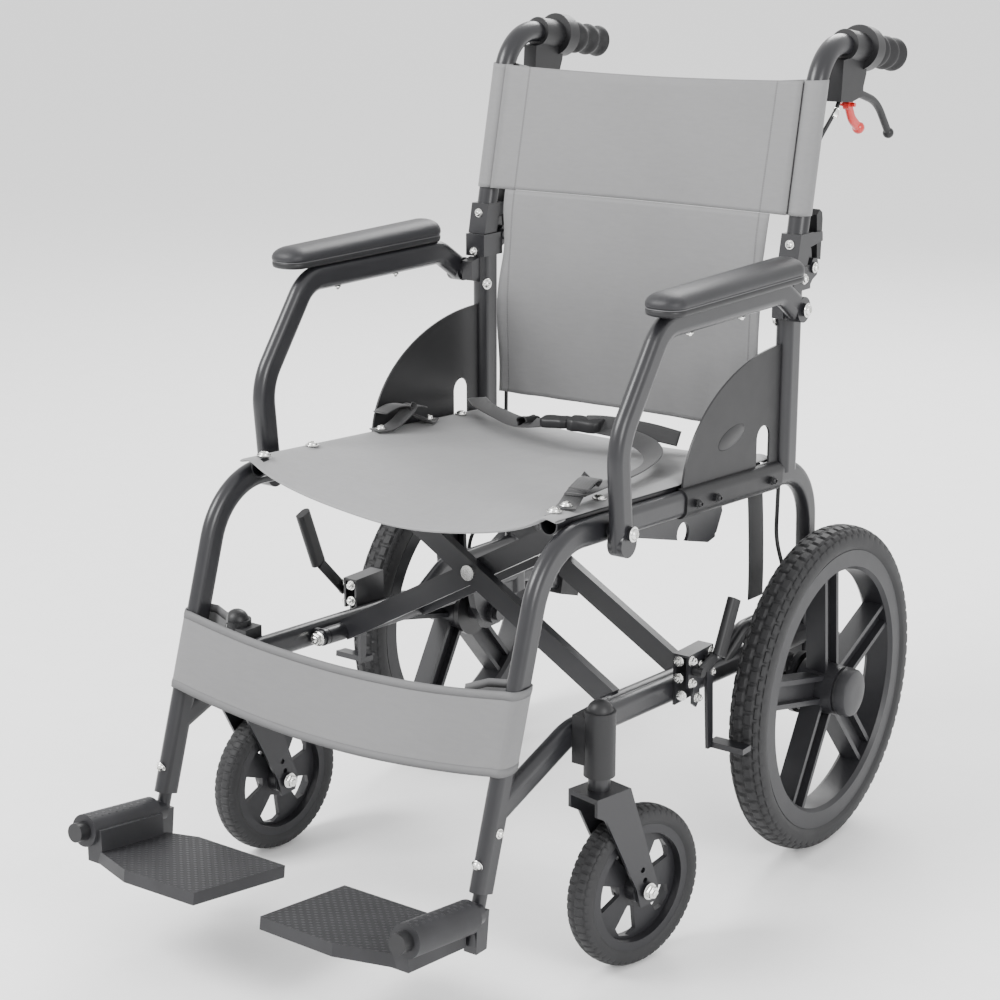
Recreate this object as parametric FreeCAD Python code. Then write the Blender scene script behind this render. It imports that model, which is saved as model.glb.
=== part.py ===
import FreeCAD, Part
import math
import os

V = FreeCAD.Vector
X_AXIS = V(1, 0, 0)
Z_AXIS = V(0, 0, 1)

# Folding transport wheelchair, in millimetres. +Z is up, the chair faces -Y, and its left side is +X.
# Every part is built for the left side; the right side is its mirror image.

# Frame tubing: one flat-oval tube, bent in the plane of the side frame
TUBE_DEPTH = 30.0          # across the tube, in the plane of the side frame
TUBE_WIDTH = 18.0          # across the tube, sideways
FRAME_X = 221.0            # mid-plane of a side frame
RAIL_FALL = 0.0616         # the rails drop this much per mm towards the rear
SEAT_RAIL_Z = 477.7        # centre of the seat rail at y = 0
LOWER_RAIL_Z = 262.6       # centre of the lower rail at y = 0
LEG_LEAN = 0.3227          # the front leg runs this far forward per mm down
LEG_END = (-370.0, 152.0)  # centre of the leg's lower end
FRONT_CORNER = (-259.7, 493.7)
REAR_CORNER_Y = 301.0
FRONT_BEND_R = 86.0
REAR_BEND_R = 72.0
DOWN_TUBE_END = (312.5, 214.0)

# Back
POST_Y = 243.0
POST_DEPTH = 36.0
POST_WIDTH = 22.0
POST_BOTTOM_Z = 466.0
HINGE_PLANE_X = 224.0      # mid-plane of the back hinges
HINGE_WIDTH = 26.0
BACK_PIVOT = (268.0, 708.0)
KNUCKLE_R = 8.0
HANDLE_D = 25.4
HANDLE_FOOT = (224.0, 244.5, 716.0)
HANDLE_CORNER = (222.0, 298.0, 967.0)
HANDLE_BEND_R = 60.0
GRIP_END = (217.0, 492.0, 940.0)
GRIP_START_Y = 414.5
LEVER_X = 219.6            # mid-plane of a brake lever
LEVER_PIVOT = (384.0, 906.0)
LATCH_PIVOT = (374.0, 888.0)
RELEASE_PIVOT = (285.0, 742.0)
CABLE_R = 2.5
CABLE_X = 203.5            # the cable passes the hinge on its inner side

# Armrest
ARM_X = 245.0
ARM_PIVOT = (218.0, 667.0)
ARM_BOLT = (-149.5, 485.0)
ARM_TOP_Z = 693.5
PAD_X = 257.5
PAD_WIDTH = 48.0
PAD_HEIGHT = 27.0
PAD_ENDS = (-112.0, 180.0)

# Folding cross under the seat
HINGE_X = 200.0            # lower hinge lines and seat tubes
SEAT_TUBE_Z = 488.4        # centre of the seat tubes at y = 0
SEAT_TUBE_D = 22.0
SEAT_TUBE_BORE_R = 9.4
SEAT_TUBE_ENDS = (-222.0, 205.0)
SEAT_EDGES = (-234.0, 222.0)  # front and rear edges of the seat fabric
SLEEVE_R = 10.5
SLEEVE_ENDS = (-112.0, 130.0)
CROSS_BAR_DEPTH = 25.0
CROSS_BAR_THICK = 12.0
A_BARS = (-78.0, 71.0)
B_BARS = (-91.0, 58.0)

# Wheels
AXLE_Y = 252.5
WHEEL_R = 200.0
WHEEL_X = 280.0
TYRE_WIDTH = 44.0
SPOKES = 5
STEM_X = 256.0
STEM_Y = -206.0
CASTER_R = 91.0
CASTER_TRAIL = 54.0
LEFT_YAW = -12.0
RIGHT_YAW = -5.0
CASTER_TYRE_WIDTH = 32.0

# Wheel locks
LOCK_PIVOT = (-6.0, 290.0)
SHOE_PIVOT = (22.0, 296.0)
SHOE_SWING = 5.5           # the right lock rests released, its shoe swung forward by this angle

# Footrests
FOOT_SLOPE = 0.1445        # footplates rise this much per mm towards the front
PLATE_TOP_Z = 111.0        # at the plate's rear edge
PLATE_REAR_Y = -372.0
PLATE_INNER_X = 42.0
PLATE_OUTER_X = 204.0
PLATE_THICK = 14.0
BARREL_START = (222.0, -392.0, 134.5)

CLEAR = 0.3                # gap between parts that move against each other
LENGTH_CENTRING = 9.84     # moves every part so that the origin is under the middle of the length


def unit(v):
    w = V(v)
    w.normalize()
    return w


def box(x0, x1, y0, y1, z0, z1):
    return Part.makeBox(x1 - x0, y1 - y0, z1 - z0, V(x0, y0, z0))


def rod(start, end, radius):
    axis = end - start
    return Part.makeCylinder(radius, axis.Length, start, axis)


def ring(start, end, outer, inner):
    return rod(start, end, outer).cut(rod(start, end, inner))


def rod_x(x0, x1, y, z, radius):
    return rod(V(x0, y, z), V(x1, y, z), radius)


def ring_x(x0, x1, y, z, outer, inner):
    return ring(V(x0, y, z), V(x1, y, z), outer, inner)


def fuse(shapes):
    whole = shapes[0].fuse(shapes[1:]) if len(shapes) > 1 else shapes[0]
    return whole.removeSplitter()


def rounded_path(points, radii):
    """A wire of straight runs joined by tangent arcs."""
    edges = []
    last = points[0]
    for before, corner, after, radius in zip(points, points[1:], points[2:], radii):
        a = unit(before - corner)
        b = unit(after - corner)
        half = a.getAngle(b) / 2
        reach = radius / math.tan(half)
        start = corner + a * reach
        end = corner + b * reach
        centre = corner + unit(a + b) * (radius / math.sin(half))
        middle = centre + unit(corner - centre) * radius
        if (start - last).Length > 1e-6:
            edges.append(Part.LineSegment(last, start).toShape())
        edges.append(Part.Arc(start, middle, end).toShape())
        last = end
    edges.append(Part.LineSegment(last, points[-1]).toShape())
    return Part.Wire(edges)


def oval_profile(centre, along, depth, width):
    """A flat-oval outline at the start of a path in a plane of constant x."""
    across = unit(along.cross(X_AXIS))
    half = (depth - width) / 2
    r = width / 2
    top = centre + across * half
    low = centre - across * half
    side = X_AXIS * r
    edges = [
        Part.LineSegment(low + side, top + side).toShape(),
        Part.Arc(top + side, top + across * r, top - side).toShape(),
        Part.LineSegment(top - side, low - side).toShape(),
        Part.Arc(low - side, low - across * r, low + side).toShape(),
    ]
    return Part.Wire(edges)


def oval_tube(x, outline, radii, depth=TUBE_DEPTH, width=TUBE_WIDTH):
    """A flat-oval tube bent in the plane x, through (y, z) points."""
    points = [V(x, y, z) for y, z in outline]
    path = rounded_path(points, radii)
    profile = oval_profile(points[0], points[1] - points[0], depth, width)
    return path.makePipeShell([profile], True, False)


def round_tube(points, radii, diameter):
    path = rounded_path(points, radii)
    start = Part.Circle(points[0], points[1] - points[0], diameter / 2).toShape()
    return path.makePipeShell([Part.Wire([start])], True, False)


def plate_yz(outline, x0, x1):
    """A flat plate from a closed (y, z) outline, between x0 and x1."""
    points = [V(x0, y, z) for y, z in outline]
    face = Part.Face(Part.makePolygon(points + points[:1]))
    return face.extrude(V(x1 - x0, 0, 0))


def seat_rail_z(y):
    return SEAT_RAIL_Z - RAIL_FALL * y


def lower_rail_z(y):
    return LOWER_RAIL_Z - RAIL_FALL * y


def seat_tube_z(y):
    return SEAT_TUBE_Z - RAIL_FALL * y


def leg_y(z):
    return LEG_END[0] + (z - LEG_END[1]) * LEG_LEAN


def handle_point(y):
    """A point on the rear run of the push handle's centre line."""
    t = (y - HANDLE_CORNER[1]) / (GRIP_END[1] - HANDLE_CORNER[1])
    return V(*HANDLE_CORNER) * (1 - t) + V(*GRIP_END) * t


RAIL_AXIS = unit(V(0, 1, -RAIL_FALL))
GRIP_AXIS = unit(V(*GRIP_END) - V(*HANDLE_CORNER))
BARREL_AXIS = unit(V(0, -1, FOOT_SLOPE))
RAIL_INNER_X = FRAME_X - TUBE_WIDTH / 2
RAIL_OUTER_X = FRAME_X + TUBE_WIDTH / 2
POST_OUTER_X = FRAME_X + POST_WIDTH / 2


# ---- side frame ----

def side_frame():
    rear_rail = (REAR_CORNER_Y, seat_rail_z(REAR_CORNER_Y))
    loop = oval_tube(FRAME_X, [LEG_END, FRONT_CORNER, rear_rail, DOWN_TUBE_END],
                     [FRONT_BEND_R, REAR_BEND_R])
    lower = oval_tube(
        FRAME_X,
        [(leg_y(232.0), 232.0), (-213.0, lower_rail_z(-213.0)), (308.0, lower_rail_z(308.0))],
        [75.0],
    )
    post = oval_tube(FRAME_X, [(POST_Y, POST_BOTTOM_Z), (POST_Y, 700.0)], [], POST_DEPTH, POST_WIDTH)
    arch = oval_tube(FRAME_X, [(95.0, lower_rail_z(95.0)), (150.0, 288.0), (305.0, 283.0)],
                     [38.0], 24.0, 17.0)
    gusset = plate_yz(
        [(205.0, 250.0), (316.0, 240.0), (316.0, 216.0), (268.0, 180.0), (237.0, 180.0), (214.0, 214.0)],
        FRAME_X - 5.0, FRAME_X + 5.0,
    )
    sleeve = rod_x(FRAME_X - 12.0, 246.0, AXLE_Y, WHEEL_R, 16.0)
    tip_bar = oval_tube(FRAME_X, [(308.0, 236.0), (372.0, 226.0), (412.0, 198.0)], [40.0], 22.0, 16.0)
    frame = fuse([loop, lower, post, arch, gusset, sleeve, tip_bar])
    leg_bore = rod(V(FRAME_X, leg_y(120.0), 120.0), V(FRAME_X, leg_y(272.0), 272.0), 7.55)
    axle_bore = rod_x(180.0, 260.0, AXLE_Y, WHEEL_R, 6.0)
    return frame.cut(leg_bore).cut(axle_bore)


def tip_pad():
    outline = [(409.0, 214.0), (450.0, 196.0), (446.0, 172.0), (402.0, 186.0)]
    pad = plate_yz(outline, FRAME_X - 13.0, FRAME_X + 13.0)
    return pad.cut(oval_tube(FRAME_X, [(372.0, 226.0), (412.2, 197.86)], [], 22.0, 16.0))


def frame_fittings():
    """The fasteners and small brackets of one side frame: rear axle, screws, pivots and hinge rod."""
    axle = rod_x(202.5, 306.0, AXLE_Y, WHEEL_R, 6.0)
    axle_head = rod_x(202.5, FRAME_X - 12.0, AXLE_Y, WHEEL_R, 11.0)
    screws = [rod_x(GUARD_LIP_X, GUARD_LIP_X + 3.0, y, seat_rail_z(y), 4.5) for y in (20.0, 62.0, 190.0)]
    knob = rod_x(FRAME_X + 8.5, FRAME_X + 18.0, 195.0, 290.0, 8.0)
    return Part.makeCompound(
        [fuse([axle, axle_head]), knob, armrest_pivot(), armrest_spacer(), hinge_rod(), rail_stay()] + screws)


def armrest_pivot():
    """The armrest's rear bolt, on a lug in front of the back post."""
    y, z = ARM_PIVOT
    front = POST_Y - POST_DEPTH / 2
    face = ARM_X - TUBE_WIDTH / 2
    lug = plate_yz([(y - 10, z - 12), (front, z - 16), (front, z + 16), (y - 10, z + 12)],
                   FRAME_X - 4.0, POST_OUTER_X)
    spacer = rod_x(POST_OUTER_X, face, y, z, 11.0)
    return fuse([lug, spacer])


def armrest_spacer():
    """The spacer between the seat rail and the armrest's front foot."""
    return rod_x(RAIL_OUTER_X, ARM_X - TUBE_WIDTH / 2, *ARM_BOLT, 9.0)


def hinge_rod():
    """The long bolt through a cross arm's sleeve, held by two lugs on the lower rail."""
    first, last = SLEEVE_ENDS
    pin = rod(at_rail(HINGE_X, first - 9.0, 0), at_rail(HINGE_X, last + 10.0, 0), 6.0)
    head = rod(at_rail(HINGE_X, first - 13.0, 0), at_rail(HINGE_X, first - 7.0, 0), 9.0)
    parts = [pin, head]
    for y in (first - 7.2, last + 1.2):
        parts.append(rod(at_rail(HINGE_X, y, 0), at_rail(HINGE_X, y + 6.0, 0), SLEEVE_R))
        z = lower_rail_z(y)
        parts.append(box(HINGE_X, RAIL_INNER_X, y, y + 6.0, z - 9.0, z + 9.0))
    return fuse(parts)


def rail_stay():
    """A notched stay under the seat rail, on its inner side, with a rounded tab at its rear end."""
    bar = plate_yz([(-70.0, 474.0), (96.0, 458.0), (100.0, 415.0), (84.0, 412.0), (-74.0, 455.0)],
                   RAIL_INNER_X - 4.0, RAIL_INNER_X)
    tab = plate_yz([(82.0, 462.0), (118.0, 462.0), (122.0, 440.0), (110.0, 418.0), (94.0, 410.0),
                    (84.0, 416.0)], RAIL_INNER_X - 8.0, RAIL_INNER_X - 4.0)
    bolt = rod_x(RAIL_INNER_X - 11.0, RAIL_INNER_X - 8.0, 103.0, 432.0, 6.0)
    notch = rod_x(RAIL_INNER_X - 10.0, RAIL_INNER_X + 1.0, 28.0, 436.0, 13.0)
    return fuse([bar.cut(notch), tab, bolt])


GUARD_X = FRAME_X - 1.25
GUARD_LIP_X = FRAME_X + TUBE_WIDTH / 2 + 2.2


def skirt_guard():
    """A quarter-ellipse guard between the seat rail and the back post, with a lip round the rail."""
    rear = POST_Y - POST_DEPTH / 2 - CLEAR
    front = 8.0
    floor = seat_rail_z(rear) + TUBE_DEPTH / 2 + 8.0
    top = 622.0
    curve = Part.BSplineCurve()
    curve.interpolate([
        V(GUARD_X, rear - (rear - front) * math.sin(a * math.pi / 16), floor + (top - floor) * math.cos(a * math.pi / 16))
        for a in range(9)
    ])
    front_foot = V(GUARD_X, front, seat_rail_z(front) + 15.4)
    rear_foot = V(GUARD_X, rear, seat_rail_z(rear) + 15.4)
    edges = [curve.toShape()]
    for a, b in ((curve.EndPoint, front_foot), (front_foot, rear_foot), (rear_foot, curve.StartPoint)):
        edges.append(Part.LineSegment(a, b).toShape())
    panel = Part.Face(Part.Wire(edges)).extrude(V(2.5, 0, 0))
    window = rod_x(GUARD_X - 5.0, GUARD_X + 8.0, 188.0, 516.0, 15.0)
    window = window.fuse(box(GUARD_X - 5.0, GUARD_X + 8.0, 173.0, 203.0, 484.0, 516.0))
    lip_path = [(2.0, seat_rail_z(2.0)), (rear - 4.0, seat_rail_z(rear - 4.0))]
    lip = oval_tube(FRAME_X, lip_path, [], TUBE_DEPTH + 4.4, TUBE_WIDTH + 4.4)
    lip = lip.cut(oval_tube(FRAME_X, lip_path, [], TUBE_DEPTH + 0.4, TUBE_WIDTH + 0.4))
    lip = lip.common(box(GUARD_X, FRAME_X + 40, -100, 400, 380, 620))
    return fuse([panel.cut(window), lip])


def caster_housing():
    """The upright bearing tube for a caster stem, with its clamp on the frame."""
    body = ring(V(STEM_X, STEM_Y, 234.0), V(STEM_X, STEM_Y, 306.0), 17.0, 9.0)
    cap = Part.makeSphere(14.5, V(STEM_X, STEM_Y, 304.0))
    cap = cap.cut(box(STEM_X - 30, STEM_X + 30, STEM_Y - 30, STEM_Y + 30, 270.0, 306.0))
    lid = rod(V(STEM_X, STEM_Y, 303.0), V(STEM_X, STEM_Y, 306.5), 16.8)
    clamp = box(RAIL_OUTER_X, STEM_X - 8.0, STEM_Y - 14.0, STEM_Y + 14.0, 246.0, 300.0)
    clamp = clamp.cut(rod(V(STEM_X, STEM_Y, 230.0), V(STEM_X, STEM_Y, 310.0), 16.0))
    return fuse([body, cap, lid, clamp])


def drum_brake():
    """The brake's back plate beside the hub, its arm, and the lower run of its cable."""
    plate = ring_x(246.5, 254.0, AXLE_Y, WHEEL_R, 38.0, 6.3)
    boss = ring_x(246.3, 256.0, AXLE_Y, WHEEL_R, 20.0, 6.3)
    arm = plate_yz([(AXLE_Y - 34, WHEEL_R + 22), (AXLE_Y - 18, WHEEL_R + 22), (AXLE_Y - 14, WHEEL_R + 40),
                    (AXLE_Y - 34, WHEEL_R + 40)], 238.0, 246.5)
    pivot = rod_x(240.0, 250.0, AXLE_Y - 24.0, WHEEL_R + 26.0, 6.0)
    py, pz = BACK_PIVOT
    cable = round_tube(
        [V(CABLE_X, py, pz - 4.0), V(CABLE_X, py - 4, 440.0), V(CABLE_X, py - 6, 372.0), V(242.0, 236.0, 305.0),
         V(242.0, AXLE_Y - 25.0, WHEEL_R + 40.0)],
        [300.0, 60.0, 60.0], 2 * CABLE_R)
    return Part.makeCompound([fuse([plate, boss, arm, pivot]), cable])


def lock_bracket():
    """The wheel lock's folded plate on the lower rail."""
    rear, front = 37.0, -17.0
    z0 = lower_rail_z(0) - 14.0
    z1 = 310.0
    wall = box(RAIL_OUTER_X, RAIL_OUTER_X + 3.0, front, rear, z0, z1)
    shelf = box(RAIL_OUTER_X, RAIL_OUTER_X + 20.0, front, rear, z1 - 3.0, z1)
    outer = box(RAIL_OUTER_X + 17.0, RAIL_OUTER_X + 20.0, front, rear, 272.0, z1)
    link = plate_yz([(-6.0, 275.0), (8.0, 275.0), (9.0, 252.0), (2.0, 244.0), (-6.0, 250.0)],
                    RAIL_OUTER_X + 17.0, RAIL_OUTER_X + 20.0)
    return fuse([wall, shelf, outer, link])


# ---- back ----

def handle_along_foot(z):
    """The y of the handle's lower run at height z."""
    _, y0, z0 = HANDLE_FOOT
    _, y1, z1 = HANDLE_CORNER
    return y0 + (z - z0) * (y1 - y0) / (z1 - z0)


def back_hinge():
    """The fixed half of the back hinge: a socket over the post, two ears and the pivot bolt."""
    x0 = HINGE_PLANE_X - HINGE_WIDTH / 2
    x1 = HINGE_PLANE_X + HINGE_WIDTH / 2
    socket = box(x0 - 2.5, x1, POST_Y - 20.0, POST_Y + 20.0, 684.0, 712.0)
    socket = socket.cut(oval_tube(FRAME_X, [(POST_Y, 600.0), (POST_Y, 700.0)], [], POST_DEPTH, POST_WIDTH))
    py, pz = BACK_PIVOT
    socket = socket.cut(rod_x(x0 + 5.0, x1 - 5.0, py, pz, KNUCKLE_R + 0.4))
    rear = POST_Y + 19.0
    outline = [(rear, 688.0), (py, pz - 14), (py + 10, pz - 10), (py + 14, pz), (py + 10, pz + 10),
               (py, pz + 11), (rear, 712.0)]
    ears = [plate_yz(outline, xa, xb) for xa, xb in ((x0, x0 + 5.0), (x1 - 5.0, x1))]
    hinge = fuse([socket] + ears).cut(rod_x(x0 - 5, x1 + 5, py, pz, 4.0))
    bolt = fuse([
        rod_x(x0 - 4.0, x1 + 2.0, py, pz, 4.0),
        rod_x(x0 - 4.0, x0, py, pz, 6.5),
        rod_x(x1, x1 + 2.4, py, pz, 6.5),
    ])
    return Part.makeCompound([hinge, bolt])


def push_handle():
    """The bent handle tube in its socket, with the moving knuckle of the back hinge."""
    tube = round_tube([V(*HANDLE_FOOT), V(*HANDLE_CORNER), handle_point(GRIP_END[1] - 3.0)],
                      [HANDLE_BEND_R], HANDLE_D)
    x0 = HINGE_PLANE_X - HINGE_WIDTH / 2
    x1 = HINGE_PLANE_X + HINGE_WIDTH / 2
    low, high = 712.5, 750.0
    ya, yb = handle_along_foot(low), handle_along_foot(high)
    socket = plate_yz([(ya - 15.5, low), (ya + 10.0, low), (yb + 14.5, high), (yb - 15.5, high)], x0, x1)
    py, pz = BACK_PIVOT
    knuckle = fuse([
        plate_yz([(ya + 5, low), (ya + 5, 730.0), (py + 4, 730.0), (py + 7.5, pz + 2), (py, pz), (py - 5, low)],
                 x0 + 5.3, x1 - 5.3),
        rod_x(x0 + 5.3, x1 - 5.3, py, pz, KNUCKLE_R),
    ])
    ry, rz = RELEASE_PIVOT
    arms = [
        plate_yz([(yb + 2, rz + 8), (ry + 4, rz + 6), (ry + 5, rz - 5), (yb + 2, rz - 10)], xa, xb)
        for xa, xb in ((x0, x0 + 3.0), (x1 - 3.0, x1))
    ]
    pin = rod_x(x0, x1, ry, rz, 3.0)
    whole = fuse([tube, socket, knuckle, pin] + arms)
    return whole.cut(rod_x(x0, x1, py, pz, 4.05))


def along_grip(y0, y1, radius):
    return rod(handle_point(y0), handle_point(y1), radius)


def hand_grip():
    """A grip with three swells and an end flange, sleeved on the handle."""
    start = handle_point(GRIP_START_Y)
    length = (V(*GRIP_END) - start).Length
    swells = 3
    steps = 18
    points = [
        V(17.8 + 2.6 * math.cos(2 * math.pi * swells * i / steps), 0, length * i / steps)
        for i in range(steps + 1)
    ]
    wave = Part.BSplineCurve()
    wave.interpolate(points)
    corners = [points[-1], V(0, 0, length), V(0, 0, 0), points[0]]
    edges = [wave.toShape()] + [Part.LineSegment(a, b).toShape() for a, b in zip(corners, corners[1:])]
    solid = Part.Face(Part.Wire(edges)).revolve(V(0, 0, 0), Z_AXIS, 360)
    solid.Placement = FreeCAD.Placement(start, FreeCAD.Rotation(Z_AXIS, GRIP_AXIS))
    return solid.cut(rod(start - GRIP_AXIS * 4, handle_point(GRIP_END[1] - 3.0), HANDLE_D / 2))


def brake_housing():
    """The brake lever's clamp, its hanging body, and the upper run of the cable."""
    collar = along_grip(394.0, 414.0, 27.0)
    clamp = along_grip(356.0, 394.0, 18.5)
    half = 9.5
    body = plate_yz([(340.0, 942.0), (372.0, 946.0), (402.0, 940.0), (400.0, 922.0), (394.0, 908.0),
                     (394.0, 897.0), (366.0, 892.0), (337.0, 894.0)], LEVER_X - half, LEVER_X + half)
    slot = box(LEVER_X - 4.3, LEVER_X + 4.3, 361.0, 430.0, 870.0, 918.0)
    whole = fuse([clamp, collar, body]).cut(slot)
    whole = whole.cut(rod(handle_point(320.0), handle_point(420.0), HANDLE_D / 2))
    for y, z in (LEVER_PIVOT, LATCH_PIVOT):
        whole = whole.cut(rod_x(LEVER_X - 20, LEVER_X + 20, y, z, 2.55))
    py, pz = BACK_PIVOT
    cable = round_tube(
        [V(LEVER_X, 350.0, 893.0), V(LEVER_X, 343.0, 883.0), V(212.0, 318.0, 850.0),
         V(CABLE_X, 286.0, 780.0), V(CABLE_X, py + 1.0, pz + 4.2)],
        [12.0, 90.0, 120.0], 2 * CABLE_R)
    return Part.makeCompound([whole, cable])


def pinned_eye(y, z, radius):
    """A round eye between the brake body's cheeks, with its pin."""
    eye = rod_x(LEVER_X - 4.0, LEVER_X + 4.0, y, z, radius)
    pin = rod_x(LEVER_X - 9.5, LEVER_X + 9.5, y, z, 2.5)
    return fuse([eye, pin])


def brake_lever():
    """The curved hand lever with a ball end."""
    y, z = LEVER_PIVOT
    blade = oval_tube(LEVER_X, [(y, z), (402.0, 899.0), (450.0, 886.0), (486.0, 845.0)],
                      [30.0, 70.0], 10.0, 8.0)
    ball = Part.makeSphere(6.8, V(LEVER_X, 486.0, 845.0))
    return fuse([blade, ball, pinned_eye(y, z, 6.5)])


def parking_latch():
    """The small paddle that holds the lever for parking."""
    y, z = LATCH_PIVOT
    paddle = oval_tube(LEVER_X, [(y, z), (y + 11.0, z - 18.0), (404.0, 858.0)], [24.0], 12.0, 7.9)
    end = Part.makeSphere(7.5, V(LEVER_X, 404.0, 858.0))
    return fuse([paddle, end, pinned_eye(y, z, 6.5)])


def back_release():
    """The flat lever behind the hinge that lets the back fold."""
    y, z = RELEASE_PIVOT
    plate = plate_yz([(283.0, 716.0), (292.0, 714.0), (294.0, 762.0), (292.0, 770.0), (286.0, 774.0),
                      (279.0, 768.0)], HINGE_PLANE_X - 9.7, HINGE_PLANE_X + 9.7)
    return plate.cut(rod_x(HINGE_PLANE_X - 20, HINGE_PLANE_X + 20, y, z, 3.05))


# ---- armrest ----

def armrest_tube():
    """The armrest's bent tube, with its two bolt heads."""
    tube = oval_tube(
        ARM_X,
        [(-151.5, 468.0), (-162.0, 582.0), (-80.0, ARM_TOP_Z), (176.0, ARM_TOP_Z), ARM_PIVOT],
        [70.0, 45.0, 38.0],
    )
    inner, outer = ARM_X - TUBE_WIDTH / 2, ARM_X + TUBE_WIDTH / 2
    foot = rod_x(inner, outer, -151.5, 474.0, TUBE_DEPTH / 2)
    head = rod_x(inner, outer, *ARM_PIVOT, TUBE_DEPTH / 2)
    bolts = [rod_x(outer, outer + 4.0, y, z, 7.5) for y, z in (ARM_BOLT, ARM_PIVOT)]
    return fuse([tube, foot, head] + bolts)


def armrest_pad():
    half = PAD_WIDTH / 2
    base = ARM_TOP_Z + TUBE_DEPTH / 2
    pad = box(PAD_X - half, PAD_X + half, *PAD_ENDS, base, base + PAD_HEIGHT)
    uprights = [e for e in pad.Edges if abs(e.tangentAt(e.FirstParameter).z) > 0.9]
    pad = pad.makeFillet(18.0, uprights)
    tops = [e for e in pad.Edges if e.BoundBox.ZMin > base + PAD_HEIGHT - 0.1]
    return pad.makeFillet(8.0, tops)


# ---- folding cross ----

RAIL_NORMAL = unit(V(0, RAIL_FALL, 1))
SEAT_RISE = (SEAT_TUBE_Z - LOWER_RAIL_Z) * RAIL_NORMAL.z
SEAT_SHIFT = SEAT_RISE * RAIL_NORMAL.y


def at_rail(x, y, rise):
    """A point off the lower hinge line: y along the rails, then rise square to them."""
    return V(x, y, lower_rail_z(y)) + RAIL_NORMAL * rise


def cross_bar(y, low_x):
    """One bar of the cross, from near the hinge line at low_x up to the seat tube opposite."""
    along = unit(at_rail(-low_x, y, SEAT_RISE) - at_rail(low_x, y, 0))
    start = at_rail(low_x, y, 0) + along * 5.0
    length = (at_rail(-low_x, y, SEAT_RISE) - start).Length - 5.0
    blank = Part.makeBox(length, CROSS_BAR_THICK, CROSS_BAR_DEPTH,
                         V(0, -CROSS_BAR_THICK / 2, -CROSS_BAR_DEPTH / 2))
    up = along.cross(RAIL_AXIS)
    blank.Placement = FreeCAD.Placement(FreeCAD.Matrix(
        along.x, RAIL_AXIS.x, up.x, start.x,
        along.y, RAIL_AXIS.y, up.y, start.y,
        along.z, RAIL_AXIS.z, up.z, start.z, 0, 0, 0, 1))
    return blank


def cross_arm(low_x, bar_ys):
    """A cross arm: two bars between a hinge sleeve below and a seat tube above."""
    tube_ends = [at_rail(-low_x, y - SEAT_SHIFT, SEAT_RISE) for y in SEAT_TUBE_ENDS]
    sleeve_ends = [at_rail(low_x, y, 0) for y in SLEEVE_ENDS]
    whole = fuse([rod(*tube_ends, SEAT_TUBE_D / 2), rod(*sleeve_ends, SLEEVE_R)]
                 + [cross_bar(y, low_x) for y in bar_ys])
    whole = whole.cut(rod(*tube_ends, SEAT_TUBE_BORE_R))
    whole = whole.cut(rod(*sleeve_ends, 6.05))
    return whole.cut(rod(at_rail(0, -200, SEAT_RISE / 2), at_rail(0, 200, SEAT_RISE / 2), 5.05))


def cross_pivots():
    """The two pivot bolts where the bars cross."""
    bolts = []
    for a, b in zip(A_BARS, B_BARS):
        front = b - CROSS_BAR_THICK / 2 - CLEAR
        rear = a + CROSS_BAR_THICK / 2 + CLEAR
        centre = [at_rail(0, y, SEAT_RISE / 2) for y in (front - 5.0, front, rear, rear + 5.0)]
        bolts.append(fuse([
            rod(centre[0], centre[3], 5.0), rod(centre[0], centre[1], 9.0), rod(centre[2], centre[3], 8.0)]))
    return Part.makeCompound(bolts)


# ---- wheels ----

def revolve_x(profile, centre):
    """Turn a closed (x, radius) outline about the X direction through centre."""
    points = [centre + V(x, 0, r) for x, r in profile]
    face = Part.Face(Part.makePolygon(points + points[:1]))
    return face.revolve(centre, X_AXIS, 360)


def tyre(centre, radius, width, seat_r, bead_half):
    """A tyre with a round tread, seated on a rim of radius seat_r."""
    half = width / 2
    shoulder = radius - half * 0.85
    left, top, right = (centre + V(x, 0, r) for x, r in ((-half, shoulder), (0, radius), (half, shoulder)))
    bead = [right, centre + V(bead_half, 0, seat_r), centre + V(-bead_half, 0, seat_r), left]
    edges = [Part.Arc(left, top, right).toShape()]
    edges += [Part.LineSegment(a, b).toShape() for a, b in zip(bead, bead[1:])]
    return Part.Face(Part.Wire(edges)).revolve(centre, X_AXIS, 360)


REAR_HUB = V(WHEEL_X, AXLE_Y, WHEEL_R)
REAR_SEAT_R = 172.0
CASTER_HUB = V(STEM_X, STEM_Y + CASTER_TRAIL, CASTER_R)
CASTER_SEAT_R = 72.0


def rear_tyre():
    return tyre(REAR_HUB, WHEEL_R, TYRE_WIDTH, REAR_SEAT_R, 18.0)


def rear_rim():
    """The rear wheel's rim, five I-section spokes, hub and cap."""
    rim = revolve_x([(-19, 152.0), (-14, 148.0), (14, 148.0), (19, 152.0), (19, REAR_SEAT_R),
                     (-19, REAR_SEAT_R)], REAR_HUB)
    hub = revolve_x([(-22, 6.05), (26, 6.05), (26, 30.0), (-22, 34.0)], REAR_HUB)
    spokes = []
    for k in range(SPOKES):
        web = box(-3.5, 3.5, -16.0, 16.0, 24.0, 151.0)
        ribs = [box(-13.0, 13.0, y, y + 6.0, 22.0, 151.0) for y in (-17.0, 11.0)]
        spoke = fuse([web] + ribs)
        spoke.rotate(V(0, 0, 0), X_AXIS, 5.0 + 360.0 / SPOKES * k)
        spoke.translate(REAR_HUB)
        spokes.append(spoke)
    cap = Part.makeCone(27.0, 20.0, 16.0, REAR_HUB + V(26.5, 0, 0), X_AXIS)
    neck = rod(REAR_HUB + V(25.0, 0, 0), REAR_HUB + V(27.0, 0, 0), 27.0)
    whole = fuse([rim, hub, neck, cap] + spokes)
    return whole.cut(rod(REAR_HUB + V(-30, 0, 0), REAR_HUB + V(30.0, 0, 0), 6.05))


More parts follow.
